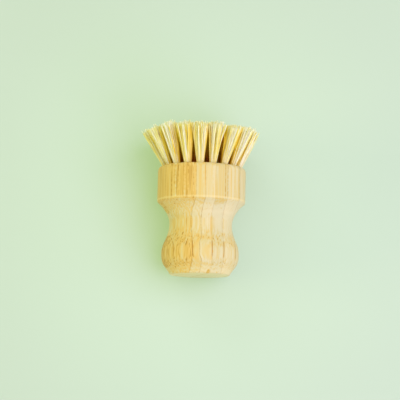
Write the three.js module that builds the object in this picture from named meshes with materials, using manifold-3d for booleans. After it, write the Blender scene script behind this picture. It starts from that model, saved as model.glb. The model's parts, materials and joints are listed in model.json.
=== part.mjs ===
// A short round scrubbing brush for cleaning proofing baskets, lying on its side.
// One turned piece of laminated bamboo makes the grip and the thick collar. The collar's face is
// drilled with blind, leaning holes, and each hole holds one tuft of stiff plant fibre. A tuft is
// bent double round a flat metal anchor, and the anchor's ends bite into the bamboo beside the hole.
// Millimetres, +Z up. The brush lies along +Y, its fibre tips and the bulge of the grip on z = 0.
import * as THREE from "three";
import { mergeVertices } from "three/addons/utils/BufferGeometryUtils.js";
import Module from "manifold-3d";

const wasm = await Module();
wasm.setup();

// ---------------------------------------------------------------- driving dimensions
const COLLAR_R = 25; // the collar is 50 mm across
const FACE_Z = 61.2; // from the flat end of the grip to the drilled face
const FACE_R = 23.4; // flat part of the face, inside the rounded rim
const END_R = 16.6; // flat end of the grip
// The turned outline above the flat end, as [height, radius]: foot, bulge, neck, cove, collar.
const OUTLINE = [
  [0, END_R],
  [0.4, 16.95],
  [1.7, 17.75],
  [2.9, 18.6],
  [4.0, 19.45],
  [5.2, 20.3],
  [6.3, 20.95],
  [7.5, 21.42],
  [9.0, 21.75],
  [11.0, 21.9],
  [13.0, 21.88],
  [14.6, 21.65],
  [16.6, 21.15],
  [18.9, 20.2],
  [21.2, 19.25],
  [23.2, 18.55],
  [25.0, 18.1],
  [27.0, 17.83],
  [28.8, 17.75],
  [30.8, 17.95],
  [32.6, 18.5],
  [34.9, 19.5],
  [37.2, 21.0],
  [38.4, 21.9],
  [39.6, 23.1],
  [40.7, 24.35],
  [41.2, 24.8],
  [41.9, COLLAR_R],
  [58.6, COLLAR_R],
  [59.7, 24.8],
  [60.6, 24.3],
  [FACE_Z, FACE_R],
];
const TURNED_SIDES = 40;

const HOLE_R = 2.3; // drilled holes
const HOLE_DEPTH = 11; // along the hole
const GAP = 0.3; // clearance kept between pieces

// Three rings of tufts: how many, radius at the face, lean away from the axis, turn of the first
// one from straight up, and the radius of the spread tip.
const RINGS = [
  { ring: "outer", count: 18, r: 20.1, lean: 19.5, first: -3, tip: 4.2 },
  { ring: "middle", count: 8, r: 12.4, lean: 11.5, first: 19.5, tip: 4.3 },
  { ring: "inner", count: 3, r: 4.3, lean: 4, first: 57, tip: 4.3 },
];
const TUFT_R = 1.95; // pressed together in the hole
const TUFT_LENGTH = 22.9; // free length above the face
const TUFT_FOLD = 10.6; // depth of the fold below the face
const TUFT_SIDES = 12;

const ANCHOR_W = 5.1; // longer than the hole is wide, so both ends bite
const ANCHOR_H = 2.0;
const ANCHOR_T = 0.5;
const ANCHOR_Z = -8.7; // middle of the anchor, below the face
const ANCHOR_CORNER = 0.5; // slanted lower corners

const TILT = THREE.MathUtils.degToRad(7.2); // the axis rises towards the fibre tips

// ---------------------------------------------------------------- helpers
const deg = THREE.MathUtils.degToRad;

// A closed geometry as a solid to join and cut, and back again.
function solid(geometry) {
  const bare = geometry.clone();
  bare.deleteAttribute("normal");
  bare.deleteAttribute("uv");
  const merged = mergeVertices(bare, 1e-4);
  const index = merged.index.array;
  const kept = [];
  for (let i = 0; i < index.length; i += 3) {
    const [a, b, c] = [index[i], index[i + 1], index[i + 2]];
    if (a !== b && b !== c && a !== c) kept.push(a, b, c);
  }
  return new wasm.Manifold(
    new wasm.Mesh({
      numProp: 3,
      vertProperties: new Float32Array(merged.attributes.position.array),
      triVerts: new Uint32Array(kept),
    }),
  );
}

function geometryOf(made) {
  const mesh = made.getMesh();
  const step = mesh.numProp;
  const position = new Float32Array(mesh.numVert * 3);
  for (let i = 0; i < mesh.numVert; i++)
    position.set(mesh.vertProperties.subarray(i * step, i * step + 3), i * 3);
  const geometry = new THREE.BufferGeometry()
    .setAttribute("position", new THREE.BufferAttribute(position, 3))
    .setIndex(new THREE.BufferAttribute(new Uint32Array(mesh.triVerts), 1));
  geometry.computeVertexNormals();
  return geometry;
}

// A turned shape about +Z from [height, radius] points that start and end on the axis.
function turned(points, sides) {
  return new THREE.LatheGeometry(
    points.map(([z, r]) => new THREE.Vector2(r, z)),
    sides,
  ).rotateX(Math.PI / 2);
}

function named(name, geometry, material) {
  const mesh = new THREE.Mesh(geometry, material);
  mesh.name = name;
  return mesh;
}

// ---------------------------------------------------------------- looks
const bamboo = () =>
  new THREE.MeshStandardMaterial({
    color: 0xdcb877,
    roughness: 0.55,
    metalness: 0,
  });
const fibre = () =>
  new THREE.MeshStandardMaterial({
    color: 0xdccb8e,
    roughness: 0.8,
    metalness: 0,
  });
const metal = () =>
  new THREE.MeshStandardMaterial({
    color: 0xb4b2aa,
    roughness: 0.4,
    metalness: 1,
  });

// ---------------------------------------------------------------- how it lies
// Inside this group the brush stands on its flat end, with -Y turned to the sky.
const brush = new THREE.Group();
brush.rotation.x = -(Math.PI / 2 - TILT);
// The axis is lifted until the lowest place on the bulge is on the ground.
brush.position.z = Math.max(
  ...OUTLINE.slice(0, 20).map(
    ([z, r]) => r * Math.cos(TILT) - z * Math.sin(TILT),
  ),
);
brush.updateMatrix();
// Everything under the ground, in the group's own frame: the lowest tufts are pressed flat there.
const ground = new THREE.BoxGeometry(300, 300, 40)
  .translate(0, 0, -20)
  .applyMatrix4(brush.matrix.clone().invert());

// ---------------------------------------------------------------- tufts and anchors
const tuftShape = turned(
  [
    [-TUFT_FOLD, 0],
    [-TUFT_FOLD + 0.3, 1.4],
    [-TUFT_FOLD + 1.1, TUFT_R],
    [0, TUFT_R],
    [12, 2.85],
    [TUFT_LENGTH - 0.6, 1],
    [TUFT_LENGTH, 0],
  ],
  TUFT_SIDES,
);

// The opening that the fibres leave round the anchor where they fold.
const anchorRoom = new THREE.BoxGeometry(
  ANCHOR_W + 2 * GAP,
  ANCHOR_T + 2 * GAP,
  ANCHOR_H + 2 * GAP,
).translate(0, 0, ANCHOR_Z);

const anchorOutline = new THREE.Shape([
  new THREE.Vector2(-ANCHOR_W / 2, ANCHOR_H / 2),
  new THREE.Vector2(-ANCHOR_W / 2, -ANCHOR_H / 2 + ANCHOR_CORNER),
  new THREE.Vector2(-ANCHOR_W / 2 + ANCHOR_CORNER, -ANCHOR_H / 2),
  new THREE.Vector2(ANCHOR_W / 2 - ANCHOR_CORNER, -ANCHOR_H / 2),
  new THREE.Vector2(ANCHOR_W / 2, -ANCHOR_H / 2 + ANCHOR_CORNER),
  new THREE.Vector2(ANCHOR_W / 2, ANCHOR_H / 2),
]);
const anchorShape = () =>
  new THREE.ExtrudeGeometry(anchorOutline, {
    depth: ANCHOR_T,
    bevelEnabled: false,
  })
    .rotateX(Math.PI / 2)
    .translate(0, ANCHOR_T / 2, ANCHOR_Z);

const holeShape = new THREE.CylinderGeometry(HOLE_R, HOLE_R, HOLE_DEPTH + 3, 14)
  .rotateX(Math.PI / 2)
  .translate(0, 0, (3 - HOLE_DEPTH) / 2);

let handleSolid = solid(turned([[0, 0], ...OUTLINE, [FACE_Z, 0]], TURNED_SIDES));

for (const { ring, count, r, lean, first, tip } of RINGS) {
  for (let i = 0; i < count; i++) {
    // A seat has its origin where the hole's axis meets the face, +Z out along the hole and +X outwards.
    const turn = deg(first + (360 / count) * i - 90);
    const seat = new THREE.Group();
    seat.position.set(r * Math.cos(turn), r * Math.sin(turn), FACE_Z);
    seat.rotation.set(0, deg(lean), turn, "ZYX");
    seat.updateMatrix();
    const number = String(i + 1).padStart(2, "0");

    // The tuft spreads to its tip, is open round its anchor, and is flat where it meets the ground.
    const spread = tuftShape.clone();
    const at = spread.attributes.position;
    for (let v = 0; v < at.count; v++) {
      if (Math.abs(at.getZ(v) - (TUFT_LENGTH - 0.6)) < 1e-3) {
        at.setX(v, at.getX(v) * tip);
        at.setY(v, at.getY(v) * tip);
      }
    }
    const tuftSolid = solid(spread)
      .subtract(solid(anchorRoom))
      .subtract(
        solid(ground.clone().applyMatrix4(seat.matrix.clone().invert())),
      );
    seat.add(named(`tuft_${ring}_${number}`, geometryOf(tuftSolid), fibre()));
    seat.add(named(`anchor_${ring}_${number}`, anchorShape(), metal()));
    brush.add(seat);

    // The hole and the two bites beside it are taken out of the collar.
    handleSolid = handleSolid
      .subtract(solid(holeShape.clone().applyMatrix4(seat.matrix)))
      .subtract(solid(anchorRoom.clone().applyMatrix4(seat.matrix)));
  }
}

// ---------------------------------------------------------------- grip and collar
brush.add(named("handle", geometryOf(handleSolid), bamboo()));

// The origin is on the ground, under the middle of the brush's outline.
const outline = new THREE.Box3().setFromObject(brush, true);
brush.position.y -= (outline.min.y + outline.max.y) / 2;
brush.position.x -= (outline.min.x + outline.max.x) / 2;

const part = new THREE.Group();
part.add(brush);

export default part;
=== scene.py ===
import json
import math

import bpy
import numpy as np
from mathutils import Matrix, Vector


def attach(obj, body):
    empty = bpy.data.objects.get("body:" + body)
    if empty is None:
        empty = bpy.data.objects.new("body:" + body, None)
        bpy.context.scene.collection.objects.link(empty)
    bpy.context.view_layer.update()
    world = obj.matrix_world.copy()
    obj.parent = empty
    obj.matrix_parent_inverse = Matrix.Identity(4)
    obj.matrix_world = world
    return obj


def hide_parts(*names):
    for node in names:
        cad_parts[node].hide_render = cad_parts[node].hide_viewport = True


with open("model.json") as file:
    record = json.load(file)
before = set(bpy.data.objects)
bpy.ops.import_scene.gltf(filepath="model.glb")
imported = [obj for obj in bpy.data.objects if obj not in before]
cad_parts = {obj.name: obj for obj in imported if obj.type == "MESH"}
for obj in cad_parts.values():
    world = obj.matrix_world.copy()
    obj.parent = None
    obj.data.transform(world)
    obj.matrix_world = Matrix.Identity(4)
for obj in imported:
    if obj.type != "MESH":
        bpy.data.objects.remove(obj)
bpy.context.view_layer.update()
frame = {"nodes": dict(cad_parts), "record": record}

MM = 0.001

# ---------------------------------------------------------------- the brush's own frame
# Inside it the brush stands on its flat end, +Z along its axis, and -Y is turned to the sky.
TILT = math.radians(7.2)
FLAT_END = Vector(next(m for m in frame["record"]["mounts"] if m["name"] == "flat_end")["pos_m"])
BRUSH = Matrix.Translation(FLAT_END) @ Matrix.Rotation(-(math.pi / 2 - TILT), 4, "X")

FACE_Z = 61.2
HOLE_R = 2.3
HOLE_DEPTH = 11.0
# The turned outline, as (height, radius) in millimetres from the flat end.
OUTLINE = [
    (0.0, 16.2), (0.1, 16.5), (0.4, 16.95), (1.7, 17.75), (2.9, 18.6), (4.0, 19.45), (5.2, 20.3),
    (6.3, 20.95), (7.5, 21.42), (9.0, 21.75), (11.0, 21.9), (13.0, 21.88), (14.6, 21.65),
    (16.6, 21.15), (18.9, 20.2), (21.2, 19.25), (23.2, 18.55), (25.0, 18.1), (27.0, 17.83),
    (28.8, 17.75), (30.8, 17.95), (32.6, 18.5), (34.9, 19.5), (37.2, 21.0), (38.4, 21.9),
    (39.6, 23.1), (40.5, 24.1), (41.0, 24.6), (41.35, 24.85), (41.8, 24.97), (42.4, 25.0),
    (46.0, 25.0), (50.0, 25.0), (54.0, 25.0), (58.0, 25.0), (58.8, 24.96), (59.6, 24.8),
    (60.3, 24.5), (60.85, 24.05), (61.12, 23.6), (61.2, 23.2),
]
# ring, how many, radius at the face, lean, turn of the first from straight up, tip radius, fibres,
# and free length: the inner tufts are shorter, because all of them were trimmed level.
RINGS = [
    ("outer", 18, 20.1, 19.5, -3.0, 4.2, 260, 22.9),
    ("middle", 8, 12.4, 11.5, 19.5, 4.3, 210, 22.0),
    ("inner", 3, 4.3, 4.0, 57.0, 4.3, 210, 21.6),
]
# How a tuft has come to stray from its hole's line by use, in millimetres at the tip: outwards, to
# the side, and longer. The rest stray at random.
STRAY = {
    "outer_01": (0.0, 0.0, -0.2),
    "outer_02": (0.0, -0.4, -0.1),
    "outer_03": (1.0, 1.0, -0.9),
    "outer_04": (1.0, 0.3, -0.1),
    "outer_05": (0.0, 0.0, 0.3),
    "outer_06": (0.1, 0.0, 0.0),
    "outer_14": (2.2, 0.0, 0.0),
    "outer_15": (2.7, 0.0, 0.0),
    "outer_16": (2.0, 0.0, 0.0),
    "outer_17": (0.5, 0.0, 0.6),
    "outer_18": (0.0, 0.7, 0.0),
}


def seat_of(radius, lean, turn):
    """Where a hole's axis meets the face: +Z out along the hole and +X outwards, in millimetres."""
    return (
        Matrix.Translation((radius * math.cos(turn), radius * math.sin(turn), FACE_Z))
        @ Matrix.Rotation(turn, 4, "Z")
        @ Matrix.Rotation(math.radians(lean), 4, "Y")
    )


SEATS = [
    (f"{ring}_{i + 1:02d}", seat_of(r, lean, math.radians(first + 360 / count * i - 90)), tip, fibres, length)
    for ring, count, r, lean, first, tip, fibres, length in RINGS
    for i in range(count)
]


def object_of(name, vertices, faces, matrix=None):
    mesh = bpy.data.meshes.new(name)
    mesh.from_pydata(vertices, [], faces)
    mesh.update()
    made = bpy.data.objects.new(name, mesh)
    bpy.context.scene.collection.objects.link(made)
    if matrix is not None:
        made.matrix_world = matrix
    return made


# ---------------------------------------------------------------- node graphs
class Graph:
    """A material's node tree, written as sums."""

    def __init__(self, name):
        self.material = bpy.data.materials.new(name)
        self.material.use_nodes = True
        self.tree = self.material.node_tree
        self.tree.nodes.clear()

    def put(self, socket, value):
        if isinstance(value, bpy.types.NodeSocket):
            self.tree.links.new(value, socket)
        elif value is not None:
            socket.default_value = value

    def add(self, kind, **settings):
        made = self.tree.nodes.new(kind)
        for key, value in settings.items():
            setattr(made, key, value)
        return made

    def math(self, operation, a, b=None, c=None, clamp=False):
        made = self.add("ShaderNodeMath", operation=operation, use_clamp=clamp)
        for socket, value in zip(made.inputs, (a, b, c)):
            self.put(socket, value)
        return made.outputs[0]

    def plus(self, a, b):
        return self.math("ADD", a, b)

    def times(self, a, b):
        return self.math("MULTIPLY", a, b)

    def dot(self, vector, direction):
        made = self.add("ShaderNodeVectorMath", operation="DOT_PRODUCT")
        self.put(made.inputs[0], vector)
        made.inputs[1].default_value = direction
        return made.outputs["Value"]

    def vector(self, x, y, z):
        made = self.add("ShaderNodeCombineXYZ")
        for socket, value in zip(made.inputs, (x, y, z)):
            self.put(socket, value)
        return made.outputs[0]

    def smooth(self, value, low, high, to_low=0.0, to_high=1.0, kind="SMOOTHSTEP"):
        made = self.add("ShaderNodeMapRange", interpolation_type=kind)
        self.put(made.inputs["Value"], value)
        self.put(made.inputs["From Min"], low)
        self.put(made.inputs["From Max"], high)
        self.put(made.inputs["To Min"], to_low)
        self.put(made.inputs["To Max"], to_high)
        return made.outputs["Result"]

    def noise(self, vector, scale=1.0, detail=2.0, rough=0.5, distort=0.0):
        made = self.add("ShaderNodeTexNoise", noise_dimensions="3D")
        self.put(made.inputs["Vector"], vector)
        made.inputs["Scale"].default_value = scale
        made.inputs["Detail"].default_value = detail
        made.inputs["Roughness"].default_value = rough
        made.inputs["Distortion"].default_value = distort
        return made.outputs["Fac"]

    def cells(self, vector, scale=1.0, randomness=1.0):
        made = self.add("ShaderNodeTexVoronoi", voronoi_dimensions="3D", feature="F1")
        self.put(made.inputs["Vector"], vector)
        made.inputs["Scale"].default_value = scale
        made.inputs["Randomness"].default_value = randomness
        return made.outputs["Distance"], made.outputs["Color"]

    def mix(self, share, a, b, blend="MIX"):
        made = self.add("ShaderNodeMix", data_type="RGBA", blend_type=blend)
        self.put(made.inputs[0], share)
        self.put(made.inputs[6], a)
        self.put(made.inputs[7], b)
        return made.outputs[2]

    def ramp(self, value, stops, kind="LINEAR"):
        made = self.add("ShaderNodeValToRGB")
        made.color_ramp.interpolation = kind
        elements = made.color_ramp.elements
        while len(elements) < len(stops):
            elements.new(0.5)
        for element, (at, colour) in zip(elements, stops):
            element.position = at
            element.color = (*colour, 1.0)
        self.put(made.inputs[0], value)
        return made.outputs[0]

    def bump(self, height, strength, distance):
        made = self.add("ShaderNodeBump")
        made.inputs["Strength"].default_value = strength
        made.inputs["Distance"].default_value = distance
        self.put(made.inputs["Height"], height)
        return made.outputs[0]

    def surface(self, shader):
        out = self.add("ShaderNodeOutputMaterial")
        self.tree.links.new(shader, out.inputs["Surface"])
        return self.material


def bamboo_material():
    """Laminated bamboo as a solid: glued strips, each a bundle of fibres that run along the axis.

    u runs across the strips and v through their thickness, both in millimetres, and s along the axis.
    Where the turned surface runs along the fibres they show as lines, and where it cuts them, as dots."""
    g = Graph("laminated_bamboo")
    at = g.add("ShaderNodeTexCoord").outputs["Object"]
    turn = math.radians(18)
    u0 = g.dot(at, (1000 * math.cos(turn), 1000 * math.sin(turn), 0))
    v0 = g.dot(at, (1000 * math.sin(turn), -1000 * math.cos(turn), 0))
    s = g.dot(at, (0, 0, 1000))

    # The strips wander a little, and one of them swings out over the bulge.
    wander = g.noise(g.vector(g.times(u0, 0.05), g.times(v0, 0.05), g.times(s, 0.06)), detail=1.0)
    u1 = g.plus(u0, g.times(g.plus(wander, -0.5), 0.7))
    along = g.times(g.plus(s, -13.4), 1 / 5.0)
    along = g.times(along, along)
    across = g.times(g.plus(u1, 6.2), 1 / 2.2)
    swing = g.math("DIVIDE", 1.8, g.times(
        g.plus(1.0, g.times(along, g.times(along, along))),
        g.plus(1.0, g.times(across, across)),
    ))
    u = g.plus(u1, swing)
    v = g.plus(v0, g.times(g.plus(g.noise(g.vector(g.times(u0, 0.1), g.times(v0, 0.1), g.times(s, 0.03)), detail=1.0), -0.5), 1.2))

    # Strips: where each begins, how warm it is, how clearly its fibres show, and how dark the glue
    # line at its beginning is along the brush and over the bulge.
    strips = [
        (None, 0.56, 0.9, 0.0, 0.0),
        (-23.8, 0.58, 0.9, 0.25, 0.2),
        (-19.1, 0.475, 1.0, 0.12, 0.38),
        (-10.4, 0.29, 0.40, 0.50, 0.90),
        (-5.4, 0.15, 0.35, 0.55, 0.15),
        (0.2, 0.11, 0.45, 0.25, 0.95),
        (7.4, 0.12, 0.45, 0.40, 0.85),
        (16.0, 0.12, 0.45, 0.35, 0.55),
        (22.6, 0.28, 0.60, 0.25, 0.2),
    ]
    bulge = g.smooth(g.math("ABSOLUTE", g.plus(s, -13.4)), 3.4, 5.2, 1.0, 0.0)
    collar = g.math("GREATER_THAN", s, 41.3)
    dashes = g.noise(g.vector(g.times(u, 0.8), 0.0, g.times(s, 0.55)), detail=2.0)
    dashes = g.smooth(dashes, 0.34, 0.62, 0.25, 1.0)
    dashes = g.times(dashes, g.smooth(collar, 0.0, 1.0, 1.0, 0.6, "LINEAR"))
    warm, clear, strip, glue, past = strips[0][1], strips[0][2], 0.0, 0.0, {}
    for (_, warm0, clear0, _, _), (begin, warm1, clear1, line, over) in zip(strips, strips[1:]):
        past[begin] = g.math("GREATER_THAN", u, begin)
        warm = g.math("MULTIPLY_ADD", past[begin], warm1 - warm0, warm)
        clear = g.math("MULTIPLY_ADD", past[begin], clear1 - clear0, clear)
        strip = g.plus(past[begin], strip)
        near = g.smooth(g.math("ABSOLUTE", g.plus(u, -begin)), 0.08, 0.35, 1.0, 0.0)
        dark = g.math("MULTIPLY_ADD", bulge, over, g.times(dashes, line))
        glue = g.math("MAXIMUM", glue, g.times(near, dark))

    # A strip is about 20 mm deep, and what is glued on outside it has a tone of its own.
    def between(a, b):
        return g.math("SUBTRACT", past[a], past[b])

    def deeper(limit):
        return g.math("GREATER_THAN", v, limit)

    # The wood is paler towards the heart of the blank, where the neck and the ends of the grip reach it.
    radius = g.math("SQRT", g.plus(g.times(u0, u0), g.times(v0, v0)))
    tone = g.plus(warm, g.smooth(radius, 17.5, 20.6, -0.12, 0.0))
    # It is paler in the cove under the collar too, partly the wood's own tone and partly painted light against the
    # shade under the collar.
    tone = g.plus(tone, g.smooth(g.math("ABSOLUTE", g.plus(s, -36.2)), 3.0, 6.4, -0.18, 0.0))
    # It is warmer where the bulge begins.
    tone = g.plus(tone, g.times(past[-10.4], g.smooth(g.math("ABSOLUTE", g.plus(s, -19.0)), 2.0, 6.0, 0.09, 0.0)))
    # One strip is warmer in a band just under the collar.
    rim = g.times(between(-19.1, -10.4), deeper(17.4))
    rim = g.times(rim, g.smooth(g.math("ABSOLUTE", g.plus(s, -38.6)), 1.8, 2.6))
    tone = g.math("MULTIPLY_ADD", rim, g.smooth(u, -19.1, -10.4, 0.32, 0.10, "LINEAR"), tone)
    tone = g.plus(tone, g.times(g.times(between(-10.4, -5.4), deeper(21.0)), g.smooth(collar, 0.0, 1.0, 0.15, 0.0, "LINEAR")))
    tone = g.plus(tone, g.times(g.times(between(0.2, 7.4), deeper(21.7)), g.smooth(collar, 0.0, 1.0, 0.34, 0.12, "LINEAR")))
    back = g.add("ShaderNodeTexWhiteNoise", noise_dimensions="2D")
    g.put(back.inputs["Vector"], g.vector(strip, g.math("FLOOR", g.times(g.math("MULTIPLY_ADD", strip, 3.7, v), 1 / 20.0)), 0.0))
    tone = g.plus(tone, g.times(g.math("LESS_THAN", v0, 2.0), g.times(g.plus(back.outputs["Value"], -0.5), 0.4)))

    def hair(at_u, half, strength, limit):
        """One darker or paler line along the collar's grain, where the piece is deep enough to hold it."""
        line = g.times(g.smooth(g.math("ABSOLUTE", g.plus(u, -at_u)), half * 0.3, half, strength, 0.0), deeper(limit))
        return g.times(g.times(line, dashes), above)

    above = g.smooth(s, 41.9, 42.4)

    tone = g.plus(tone, hair(-21.6, 0.5, 0.30, 11.0))
    tone = g.plus(tone, hair(-20.4, 1.0, -0.45, 12.5))
    tone = g.plus(tone, hair(-20.0, 0.5, -0.50, 12.5))
    tone = g.plus(tone, hair(-18.7, 0.9, 0.36, 14.0))
    tone = g.plus(tone, hair(-16.15, 0.7, -0.75, 17.4))
    tone = g.plus(tone, hair(-14.5, 0.5, 0.55, 17.4))
    tone = g.plus(tone, hair(-11.8, 0.5, -0.70, 20.0))
    tone = g.plus(tone, hair(-10.9, 0.5, 0.45, 20.0))
    tone = g.plus(tone, hair(-6.6, 0.6, 0.32, 22.0))
    tone = g.plus(tone, hair(-1.4, 0.7, 0.24, 23.0))
    tone = g.plus(tone, hair(6.0, 0.6, 0.95, 22.8))
    tone = g.plus(tone, hair(7.6, 0.55, 0.90, 22.0))
    tone = g.plus(tone, hair(12.4, 0.45, 0.40, 20.0))
    tone = g.plus(tone, hair(16.2, 0.9, 0.50, 17.0))
    waist = g.smooth(g.math("ABSOLUTE", g.plus(s, -26.5)), 4.0, 8.5, 1.0, 0.0)
    tone = g.plus(tone, g.times(g.smooth(g.math("ABSOLUTE", g.plus(u, -0.3)), 0.2, 1.1, 0.34, 0.0), waist))
    # A finer, darker line just under the collar's lower edge: painted shade under the lip.
    tone = g.plus(tone, g.smooth(g.math("ABSOLUTE", g.plus(s, -41.0)), 0.1, 0.5, 0.04, 0.0))

    # Bundles of fibre, and finer fibre between them.
    dots, each = g.cells(g.vector(g.times(u, 0.9), g.times(v, 0.9), g.times(s, 0.024)))
    pick = g.add("ShaderNodeSeparateColor")
    g.put(pick.inputs[0], each)
    size = g.smooth(pick.outputs[0], 0.0, 1.0, 0.20, 0.44, "LINEAR")
    bundle = g.smooth(dots, g.times(size, 0.35), size, 1.0, 0.0)
    bundle = g.times(bundle, g.smooth(pick.outputs[1], 0.1, 0.9, 0.25, 1.0, "LINEAR"))
    fine = g.noise(g.vector(g.times(u, 2.1), g.times(v, 2.1), g.times(s, 0.04)), detail=3.0, rough=0.6)
    lines = g.noise(g.vector(g.times(u, 1.15), g.times(v, 1.15), g.times(s, 0.03)), detail=1.0)
    lines = g.smooth(lines, 0.36, 0.64, -0.5, 0.5)
    soft = g.noise(g.vector(g.times(u, 0.5), g.times(v, 0.62), g.times(s, 0.014)), detail=2.0)
    bed = g.noise(g.vector(g.times(u, 0.14), g.times(v, 0.14), g.times(s, 0.02)), detail=1.0)
    beds = g.math("SINE", g.plus(g.times(v, 2 * math.pi / 1.7), g.times(bed, 8.0)))

    tone = g.plus(tone, g.times(g.plus(soft, -0.5), g.plus(0.22, g.times(clear, 0.34))))
    tone = g.plus(tone, g.times(beds, 0.06))
    tone = g.plus(tone, g.times(lines, g.plus(0.10, g.times(clear, 0.24))))
    tone = g.plus(tone, g.times(g.plus(fine, -0.5), g.plus(0.10, g.times(clear, 0.3))))
    flank = g.smooth(g.math("ABSOLUTE", g.plus(g.math("ABSOLUTE", g.plus(s, -13.0)), -6.0)), 2.0, 5.0, 1.6, 0.85)
    tone = g.plus(tone, g.times(g.times(bundle, flank), g.plus(0.25, g.times(clear, 0.49))))
    # Smaller bundles lie between them, and show as a stipple where the bulge cuts them.
    between_dots, _ = g.cells(g.vector(g.plus(g.times(u, 1.2), 7.3), g.times(v, 1.2), g.times(s, 0.05)))
    cut_across = g.smooth(g.math("ABSOLUTE", g.plus(s, -13.0)), 8.5, 10.5, 1.0, 0.0)
    tone = g.plus(tone, g.times(g.times(g.smooth(between_dots, 0.12, 0.34, 1.0, 0.0), cut_across), g.plus(0.05, g.times(clear, 0.6))))
    # A small dark mark by the foot.
    mark = g.smooth(g.math("ADD",
        g.math("POWER", g.times(g.plus(s, -0.7), 1 / 1.6), 2.0),
        g.math("POWER", g.times(g.plus(u0, 0.7), 1 / 1.0), 2.0)), 0.2, 1.3, 1.0, 0.0)
    tone = g.plus(tone, g.times(mark, 0.75))
    colour = g.ramp(tone, [
        (0.0, (0.660, 0.566, 0.392)),
        (0.16, (0.645, 0.522, 0.302)),
        (0.34, (0.662, 0.492, 0.216)),
        (0.54, (0.692, 0.455, 0.149)),
        (0.8, (0.595, 0.356, 0.084)),
        (1.0, (0.44, 0.232, 0.044)),
    ])
    colour = g.mix(between(0.2, 7.4), colour, (0.94, 0.96, 0.975, 1), "MULTIPLY")
    # The cut bundles of the paler strips are browner, and so is the mark.
    brown = g.times(g.times(bundle, cut_across), past[-10.4])
    colour = g.mix(g.math("MAXIMUM", brown, mark), colour, (0.89, 0.93, 0.97, 1), "MULTIPLY")
    colour = g.mix(glue, colour, (0.40, 0.18, 0.012, 1))
    # Three greyer lines in the collar.
    for at_u, half in ((6.0, 0.6), (7.8, 0.7), (16.4, 1.1)):
        line = g.smooth(g.math("ABSOLUTE", g.plus(u, -at_u)), half * 0.3, half, 1.0, 0.0)
        colour = g.mix(g.times(line, collar), colour, (0.88, 0.89, 0.89, 1), "MULTIPLY")
    # The wood is painted a little lighter in the cove and by the foot: painted light against the shade that falls
    # there.
    cove_light = g.smooth(g.math("ABSOLUTE", g.plus(s, -37.6)), 2.6, 5.0, 1.0, 0.0)
    colour = g.mix(cove_light, colour, (1.055, 1.05, 1.08, 1), "MULTIPLY")
    colour = g.mix(g.smooth(s, 3.0, 6.5, 1.0, 0.0), colour, (1.085, 1.06, 1.0, 1), "MULTIPLY")
    # The collar's lower edge gets a painted highlight where its rounded edge catches the light, and the flat end,
    # where the fibres are cut across, is painted paler: painted light for the light it gets from the floor.
    edge_highlight = g.smooth(g.math("ABSOLUTE", g.plus(s, -42.1)), 0.3, 0.75, 0.32, 0.0)
    colour = g.mix(edge_highlight, colour, (0.82, 0.66, 0.38, 1))
    end = g.smooth(s, 0.03, 0.12, 1.0, 0.0)
    colour = g.mix(g.times(end, 0.6), colour, (0.90, 0.79, 0.48, 1))
    # The bundles show there as small dots, closer together towards the outside of each strip.
    ends, _ = g.cells(g.vector(g.times(u, 1.1), g.times(v, 1.1), 0.0))
    dotted = g.times(g.smooth(ends, 0.10, 0.30, 1.0, 0.0), g.smooth(bed, 0.35, 0.65, 0.25, 0.7))
    colour = g.mix(g.times(end, dotted), colour, (0.50, 0.34, 0.13, 1))

    shader = g.add("ShaderNodeBsdfPrincipled")
    g.put(shader.inputs["Base Color"], colour)
    g.put(shader.inputs["Roughness"], g.smooth(fine, 0.3, 0.7, 0.42, 0.6, "LINEAR"))
    shader.inputs["Specular IOR Level"].default_value = 0.35
    height = g.math("SUBTRACT", g.times(fine, 0.5), g.math("MAXIMUM", g.times(bundle, 0.6), glue))
    g.put(shader.inputs["Normal"], g.bump(height, 0.3, 0.00012))
    return g.surface(shader.outputs[0])


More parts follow.
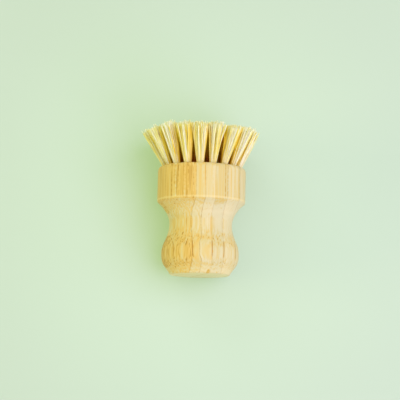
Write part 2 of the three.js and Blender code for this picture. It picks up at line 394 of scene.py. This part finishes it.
def fibre_material(name, root_shade_inside, root_shade_outside, root_shade_height, golden_shade_inside, golden_shade_outside, shade_gold, tip_highlight_share):
    """Stiff undyed plant fibre. Every fibre has its own tone, and none is even along its length.

    The side that is turned to the brush's middle, and the fibres deep in a tuft, are painted gold, and dark brown
    near the wood: painted shade."""
    g = Graph(name)
    at = g.add("ShaderNodeTexCoord").outputs["Object"]
    each = g.add("ShaderNodeNewGeometry").outputs["Random Per Island"]
    x, y, height = (g.dot(at, direction) for direction in ((1000, 0, 0), (0, 1000, 0), (0, 0, 1000)))
    # How far out in the tuft, against its own half width there.
    half = g.smooth(height, 0.0, 22.9, 1.9, 4.2, "LINEAR")
    outwards, sideways = g.math("DIVIDE", x, half), g.math("DIVIDE", y, half)
    depth = g.math("SQRT", g.plus(g.times(outwards, outwards), g.times(sideways, sideways)))
    streak = g.noise(g.vector(g.times(x, 2.6), g.times(y, 2.6), g.times(height, 0.16)), detail=2.0)
    # Fibres from one leaf lie together in a lock.
    tuft_at = g.dot(g.add("ShaderNodeObjectInfo").outputs["Location"], (3100, 4300, 5700))
    lock = g.noise(g.vector(g.times(outwards, 3.0), g.plus(g.times(sideways, 3.0), tuft_at), g.times(height, 0.03)), detail=1.0)
    tone = g.math("MULTIPLY_ADD", each, 0.7, g.smooth(lock, 0.33, 0.67, -0.2, 0.5))
    tone = g.plus(tone, g.times(g.plus(streak, -0.5), 0.5))
    # Painted highlight: the fibres are painted paler towards their trimmed tips.
    tip_highlight = g.smooth(height, 17.5, 23.0, 0.0, tip_highlight_share)
    # The longest ones stick out past the trimmed ends, and get the palest painted highlight there.
    wisp_highlight = g.smooth(height, 22.0, 23.6)
    tone = g.plus(tone, g.math("MULTIPLY_ADD", wisp_highlight, 0.5, g.times(tip_highlight, 0.12)))
    tone = g.plus(tone, g.smooth(height, 2.0, 11.0, 0.12, 0.0))
    colour = g.ramp(tone, [
        (0.0, (0.915, 0.692, 0.060)),
        (0.25, (0.915, 0.785, 0.186)),
        (0.58, (0.928, 0.863, 0.460)),
        (0.82, (0.932, 0.90, 0.695)),
        (1.0, (0.932, 0.92, 0.87)),
    ])
    # Painted shade: fibres deep in the tuft, and on its side turned to the brush's middle, are painted a deep gold.
    deep_shade = g.smooth(depth, 0.5, 0.95, 0.75, 0.0)
    turned_in_shade = g.smooth(outwards, -0.15, 0.92, golden_shade_inside, golden_shade_outside)
    golden_shade = g.times(g.math("MAXIMUM", deep_shade, turned_in_shade), g.smooth(height, 15.5, 22.0, 1.0, 0.58))
    golden_shade = g.times(golden_shade, g.smooth(wisp_highlight, 0.0, 1.0, 1.0, 0.2, "LINEAR"))
    colour = g.mix(golden_shade, colour, (*shade_gold, 1))
    # Painted shade: near the wood, on the side turned to the brush's middle, the fibres are painted gold and then
    # dark brown.
    root = g.times(g.smooth(height, 0.0, root_shade_height, 1.0, 0.0), g.smooth(outwards, -0.6, 0.5, root_shade_inside, root_shade_outside))
    colour = g.mix(g.math("MULTIPLY", root, 1.7, clamp=True), colour, (0.96, 0.67, 0.03, 1))
    colour = g.mix(root, colour, (0.38, 0.044, 0.001, 1))
    # The painted highlight on the tips.
    colour = g.mix(g.times(tip_highlight, 0.36), colour, (0.935, 0.92, 0.74, 1))
    shader = g.add("ShaderNodeBsdfPrincipled")
    g.put(shader.inputs["Base Color"], colour)
    g.put(shader.inputs["Roughness"], g.smooth(streak, 0.3, 0.7, 0.5, 0.75, "LINEAR"))
    shader.inputs["Specular IOR Level"].default_value = 0.15
    g.put(shader.inputs["Normal"], g.bump(streak, 0.3, 0.00006))
    # Light that has gone through a fibre is deeper in colour.
    through = g.add("ShaderNodeBsdfTranslucent")
    g.put(through.inputs["Color"], g.mix(0.6, colour, (0.92, 0.63, 0.05, 1)))
    both = g.add("ShaderNodeMixShader")
    g.put(both.inputs[0], g.smooth(height, 12.0, 21.0, 0.13, 0.10))
    g.put(both.inputs[1], shader.outputs[0])
    g.put(both.inputs[2], through.outputs[0])
    return g.surface(both.outputs[0])


def anchor_material():
    """Bright flat wire with the drawing marks along it and a little dulling."""
    g = Graph("anchor_wire")
    at = g.add("ShaderNodeTexCoord").outputs["Object"]
    marks = g.noise(g.vector(g.dot(at, (900, 0, 0)), g.dot(at, (0, 400, 0)), g.dot(at, (0, 0, 9000))), detail=3.0)
    dull = g.noise(at, scale=900.0, detail=3.0)
    shader = g.add("ShaderNodeBsdfPrincipled")
    g.put(shader.inputs["Base Color"], g.ramp(dull, [(0.3, (0.42, 0.40, 0.36)), (0.7, (0.66, 0.65, 0.62))]))
    shader.inputs["Metallic"].default_value = 1.0
    g.put(shader.inputs["Roughness"], g.smooth(marks, 0.3, 0.7, 0.25, 0.5, "LINEAR"))
    g.put(shader.inputs["Normal"], g.bump(marks, 0.2, 0.00005))
    return g.surface(shader.outputs[0])


def floor_material():
    g = Graph("pale_green_floor")
    at = g.add("ShaderNodeTexCoord").outputs["Object"]
    cloud = g.noise(at, scale=5.0, detail=2.0)
    shader = g.add("ShaderNodeBsdfPrincipled")
    away = g.add("ShaderNodeVectorMath", operation="LENGTH")
    g.put(away.inputs[0], at)
    far = g.smooth(away.outputs["Value"], 0.3, 1.0)
    sheet = g.ramp(cloud, [(0.3, (0.388, 0.411, 0.551)), (0.7, (0.396, 0.419, 0.561))])
    g.put(shader.inputs["Base Color"], g.mix(far, sheet, (0.05, 0.055, 0.07, 1)))
    shader.inputs["Roughness"].default_value = 0.8
    shader.inputs["Specular IOR Level"].default_value = 0.15
    # The sheet is lit from below as well, a little less away from the middle, and only from below
    # where the lamps stand.
    glow = g.mix(g.smooth(away.outputs["Value"], 0.06, 0.17), (0.168, 0.294, 0.063, 1), (0.1356, 0.234, 0.039, 1))
    glow = g.mix(far, glow, (0.58, 0.73, 0.54, 1))
    g.put(shader.inputs["Emission Color"], glow)
    shader.inputs["Emission Strength"].default_value = 1.0
    return g.surface(shader.outputs[0])


bamboo, wire = bamboo_material(), anchor_material()
fibre = fibre_material("plant_fibre", 0.8, 0.06, 13.0, 0.9, 0.0, (0.98, 0.74, 0.03), 0.5)
# The tufts inside the ring are painted darker, gold and brown for more of their length: painted shade inside the
# ring.
inner_fibre_shaded = fibre_material("plant_fibre_inside_shaded", 0.97, 0.97, 18.0, 0.95, 0.9, (0.97, 0.64, 0.03), 0.5)


# ---------------------------------------------------------------- grip and collar
def smooth_outline(points, steps):
    """A curve through the points, rounder where they are close and never past them."""
    p = np.array(points, float)
    p = np.vstack([2 * p[0] - p[1], p, 2 * p[-1] - p[-2]])
    out = []
    for i in range(1, len(p) - 2):
        a, b, c, d = p[i - 1 : i + 3]
        k = [0.0]
        for m, n in ((a, b), (b, c), (c, d)):
            k.append(k[-1] + max(np.linalg.norm(n - m), 1e-6) ** 0.5)
        for t in np.linspace(k[1], k[2], steps, endpoint=False):
            a1 = (k[1] - t) / (k[1] - k[0]) * a + (t - k[0]) / (k[1] - k[0]) * b
            a2 = (k[2] - t) / (k[2] - k[1]) * b + (t - k[1]) / (k[2] - k[1]) * c
            a3 = (k[3] - t) / (k[3] - k[2]) * c + (t - k[2]) / (k[3] - k[2]) * d
            b1 = (k[2] - t) / (k[2] - k[0]) * a1 + (t - k[0]) / (k[2] - k[0]) * a2
            b2 = (k[3] - t) / (k[3] - k[1]) * a2 + (t - k[1]) / (k[3] - k[1]) * a3
            out.append((k[2] - t) / (k[2] - k[1]) * b1 + (t - k[1]) / (k[2] - k[1]) * b2)
    out.append(p[-2])
    return np.array(out)


def turned(name, outline, sides, matrix):
    """A closed turned mesh about +Z, flat at both ends."""
    angle = np.arange(sides) * 2 * math.pi / sides
    rings = [
        np.stack([r * np.cos(angle), r * np.sin(angle), np.full(sides, z)], 1) for z, r in outline
    ]
    vertices = np.concatenate(rings) * MM
    faces = [
        (i * sides + j, i * sides + (j + 1) % sides, (i + 1) * sides + (j + 1) % sides, (i + 1) * sides + j)
        for i in range(len(rings) - 1)
        for j in range(sides)
    ]
    faces.append(tuple(reversed(range(sides))))
    faces.append(tuple((len(rings) - 1) * sides + j for j in range(sides)))
    return object_of(name, vertices.tolist(), faces, matrix)


handle = turned("bamboo_handle", smooth_outline(OUTLINE, 5), 192, BRUSH)

# One cutter for every hole, a little wider at the mouth.
hole = [(-HOLE_DEPTH, HOLE_R), (-0.35, HOLE_R), (0.0, HOLE_R + 0.12), (0.35, HOLE_R + 0.4), (2.6, HOLE_R + 1.6)]
hole_sides = 28
cut_vertices, cut_faces = [], []
for _, seat, _, _, _ in SEATS:
    base = len(cut_vertices)
    for z, r in hole:
        for j in range(hole_sides):
            a = 2 * math.pi * j / hole_sides
            cut_vertices.append(tuple(seat @ Vector((r * math.cos(a), r * math.sin(a), z)) * MM))
    for i in range(len(hole) - 1):
        for j in range(hole_sides):
            k = (j + 1) % hole_sides
            cut_faces.append((base + i * hole_sides + j, base + i * hole_sides + k, base + (i + 1) * hole_sides + k, base + (i + 1) * hole_sides + j))
    cut_faces.append(tuple(base + j for j in reversed(range(hole_sides))))
    cut_faces.append(tuple(base + (len(hole) - 1) * hole_sides + j for j in range(hole_sides)))
cutter = object_of("hole_cutter", cut_vertices, cut_faces, BRUSH)
drill = handle.modifiers.new("drill", "BOOLEAN")
drill.operation, drill.solver, drill.object = "DIFFERENCE", "EXACT", cutter
bpy.context.view_layer.update()
drilled = bpy.data.meshes.new_from_object(handle.evaluated_get(bpy.context.evaluated_depsgraph_get()))
handle.modifiers.clear()
handle.data = drilled
drilled.name = "bamboo_handle"
bpy.data.objects.remove(cutter)
for polygon in drilled.polygons:
    polygon.use_smooth = True
drilled.set_sharp_from_angle(angle=math.radians(32))
drilled.materials.clear()
drilled.materials.append(bamboo)
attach(handle, "root")
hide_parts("handle")


# ---------------------------------------------------------------- tufts
SIDES = 6
GROUND = 0.3  # the lowest that a fibre's middle may lie


def tuft(name, seat, tip, count, full, seed):
    heights = np.array([-9.6, -1.0, 1.5, 5.0, 9.0, 13.0, 17.0, 20.0, full])
    rng = np.random.default_rng(seed)
    at_random = rng.normal(0, (0.5, 0.6, 0.3))
    out, aside, longer = STRAY.get(name, at_random)
    # The fibres fill the hole evenly and keep their places as they spread.
    n = np.arange(count)
    share = np.sqrt((n + 0.5) / count)
    angle = n * 2.399963 + rng.normal(0, 0.25, count)
    base_r = 1.88 * np.clip(share + rng.normal(0, 0.04, count), 0, 1)
    tip_r = tip * np.clip(share + rng.normal(0, 0.12, count), 0, 1.16)
    tip_angle = angle + rng.normal(0, 0.10, count)
    base = np.stack([base_r * np.cos(angle), base_r * np.sin(angle)], 1)
    end = np.stack([tip_r * np.cos(tip_angle), tip_r * np.sin(tip_angle)], 1)
    bend = rng.normal(0, 0.36, (count, 2))
    stray = rng.random(count) < 0.09
    bend[stray] += rng.normal(0, 1.1, (int(stray.sum()), 2))
    wave = rng.normal(0, 0.10, (count, 2))
    length = full + longer + rng.normal(0, 0.28, count) - 0.03 * tip_r**2
    length -= (rng.random(count) < 0.08) * rng.uniform(0.5, 2.5, count)
    thick = rng.uniform(0.165, 0.26, count)
    # A few thin ones escaped the trimming.
    wisp = np.random.default_rng(seed + 500).random(count) < 0.12
    length = length + np.where(wisp, 0.25 + 1.3 * np.modf(n * 0.618034)[0], 0.0)
    thick = np.where(wisp, thick * 0.8, thick)
    flat = rng.uniform(0.55, 1.0, count)
    twist = rng.uniform(0, math.pi, count)
    period, phase = rng.uniform(7, 14, count), rng.uniform(0, 2 * math.pi, count)

    z = np.repeat(heights[None, :], count, 0)
    z[:, 5:] = z[:, 5:] + (length - full)[:, None] * ((heights[5:] - 9.0) / (full - 9.0))[None, :]
    t = np.clip(z / full, 0, None)
    spread = 1 - (1 - np.minimum(t, 1)) ** 1.1
    path = base[:, None, :] + (end - base)[:, None, :] * spread[..., None]
    path = path + bend[:, None, :] * (t**2)[..., None]
    path = path + np.array([out, aside]) * (t**1.2)[..., None]
    path = path + wave[:, None, :] * (np.sin(z / period[:, None] * 2 * math.pi + phase[:, None]) * np.sqrt(t))[..., None]
    middle = np.concatenate([path, z[..., None]], 2)  # count, heights, 3

    # Fibres that would go into the ground lie over on it instead.
    to_world = np.array(BRUSH @ Matrix.Diagonal((MM, MM, MM, 1)) @ seat)
    world = (middle @ to_world[:3, :3].T + to_world[:3, 3]) * 1000
    low = 1.5
    under = world[..., 2] < low
    eased = GROUND + (low - GROUND) * np.exp(np.minimum(world[..., 2] - low, 0) / (low - GROUND))
    world[..., 2] = np.where(under, eased, world[..., 2])
    to_seat = np.linalg.inv(to_world)
    middle = (world / 1000) @ to_seat[:3, :3].T + to_seat[:3, 3]

    around = np.arange(SIDES) * 2 * math.pi / SIDES
    cx, cy = np.cos(around), np.sin(around)
    ox = thick[:, None] * (cx * np.cos(twist)[:, None] - flat[:, None] * cy * np.sin(twist)[:, None])
    oy = thick[:, None] * (cx * np.sin(twist)[:, None] + flat[:, None] * cy * np.cos(twist)[:, None])
    taper = np.linspace(1.0, 1.12, len(heights))
    skin = np.repeat(middle[:, :, None, :], SIDES, 2)
    skin[..., 0] += ox[:, None, :] * taper[None, :, None]
    skin[..., 1] += oy[:, None, :] * taper[None, :, None]
    # A cut end is seldom square.
    slant = rng.normal(0, 0.25, (count, 2))
    skin[:, -1, :, 2] += slant[:, :1] * ox + slant[:, 1:] * oy
    vertices = (skin * MM).reshape(-1, 3)

    rows = len(heights)
    i, j, k = np.meshgrid(np.arange(count), np.arange(rows - 1), np.arange(SIDES), indexing="ij")
    first = i * rows * SIDES + j * SIDES
    sides = np.stack([first + k, first + (k + 1) % SIDES, first + SIDES + (k + 1) % SIDES, first + SIDES + k], -1).reshape(-1, 4)
    faces = sides.tolist()
    for m in range(count):
        b = m * rows * SIDES
        faces.append([b + q for q in reversed(range(SIDES))])
        faces.append([b + (rows - 1) * SIDES + q for q in range(SIDES)])
    local = Matrix.Translation(seat.translation * MM) @ seat.to_3x3().to_4x4()
    made = object_of(f"fibres_{name}", vertices.tolist(), faces, BRUSH @ local)
    mesh = made.data
    smooth = np.ones(len(mesh.polygons), bool)
    smooth[len(sides):] = False
    mesh.polygons.foreach_set("use_smooth", smooth)
    mesh.materials.append(fibre if name.startswith("outer") else inner_fibre_shaded)
    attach(made, "root")
    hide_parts(f"tuft_{name}")
    return made


for number, (name, seat, tip, count, length) in enumerate(SEATS):
    tuft(name, seat, tip, count, length, 4100 + number)

# ---------------------------------------------------------------- anchors
for name, _, _, _, _ in SEATS:
    node = frame["nodes"][f"anchor_{name}"]
    node.data.materials.clear()
    node.data.materials.append(wire)

# ---------------------------------------------------------------- floor, light, camera
floor = object_of("floor", [(-3, -3, 0), (3, -3, 0), (3, 3, 0), (-3, 3, 0)], [(0, 1, 2, 3)])
floor.data.materials.append(floor_material())

world = bpy.data.worlds.new("studio")
bpy.context.scene.world = world
world.use_nodes = True
sky = world.node_tree.nodes["Background"]
sky.inputs["Color"].default_value = (0.542, 0.616, 0.339, 1)
sky.inputs["Strength"].default_value = 1.0


def lamp(name, place, size, power, colour, target=(0, 0, 0.02)):
    data = bpy.data.lights.new(name, "AREA")
    data.shape, data.size, data.energy, data.color = "DISK", size, power, colour
    made = bpy.data.objects.new(name, data)
    bpy.context.scene.collection.objects.link(made)
    made.location = place
    made.rotation_mode = "QUATERNION"
    made.rotation_quaternion = (Vector(target) - Vector(place)).to_track_quat("-Z", "Y")
    return made


lamp("overhead", (0.0, -0.05, 1.3), 1.3, 2.5, (0.94, 1.0, 0.72))
lamp("key", (0.6, -0.12, 1.1), 1.2, 8.15, (0.99, 0.80, 1.0))
lamp("right", (0.65, -0.75, 0.7), 0.8, 3.68, (0.90, 0.76, 1.0))
lamp("rim", (1.1, -0.1, 0.3), 0.6, 1.25, (0.88, 0.97, 1.0))
lamp("left", (-1.5, -0.12, 0.48), 0.7, 6.6, (1.0, 1.0, 0.34))
lamp("back", (-0.5, 0.8, 0.7), 0.8, 2.4, (0.85, 0.92, 0.66))

# Light passes from fibre to fibre many times before it leaves a tuft.
bpy.context.scene.cycles.max_bounces = 20
bpy.context.scene.cycles.diffuse_bounces = 14
bpy.context.scene.cycles.transmission_bounces = 14

view = bpy.context.scene.view_settings
view.view_transform = "Standard"
view.look = "None"

# The brush is seen a little from the grip's end, and leans a little to the right in the picture.
FOCAL = 1530.0  # pixels, in a picture 400 wide
DISTANCE = 870.0
SEEN_FROM_END = math.radians(7.6)
ROLL = math.radians(1.33)
camera_data = bpy.data.cameras.new("camera")
camera = bpy.data.objects.new("camera", camera_data)
bpy.context.scene.collection.objects.link(camera)
bpy.context.scene.camera = camera
camera_data.sensor_width = 36.0
camera_data.lens = 36.0 * FOCAL / 400.0
camera_data.clip_start, camera_data.clip_end = 0.05, 20.0
axis = (BRUSH.to_3x3() @ Vector((0, 0, 1))).normalized()
up_side = (BRUSH.to_3x3() @ Vector((0, -1, 0))).normalized()
back = (up_side * math.cos(SEEN_FROM_END) - axis * math.sin(SEEN_FROM_END)).normalized()
target = BRUSH @ Vector((-0.72 * MM, 0, 43.0 * MM))
top = (axis - back * axis.dot(back)).normalized()
right = top.cross(back).normalized()
tilted_top = (top * math.cos(ROLL) - right * math.sin(ROLL)).normalized()
tilted_right = tilted_top.cross(back).normalized()
place = target + back * DISTANCE * MM
camera.matrix_world = Matrix((
    (tilted_right.x, tilted_top.x, back.x, place.x),
    (tilted_right.y, tilted_top.y, back.y, place.y),
    (tilted_right.z, tilted_top.z, back.z, place.z),
    (0, 0, 0, 1),
))
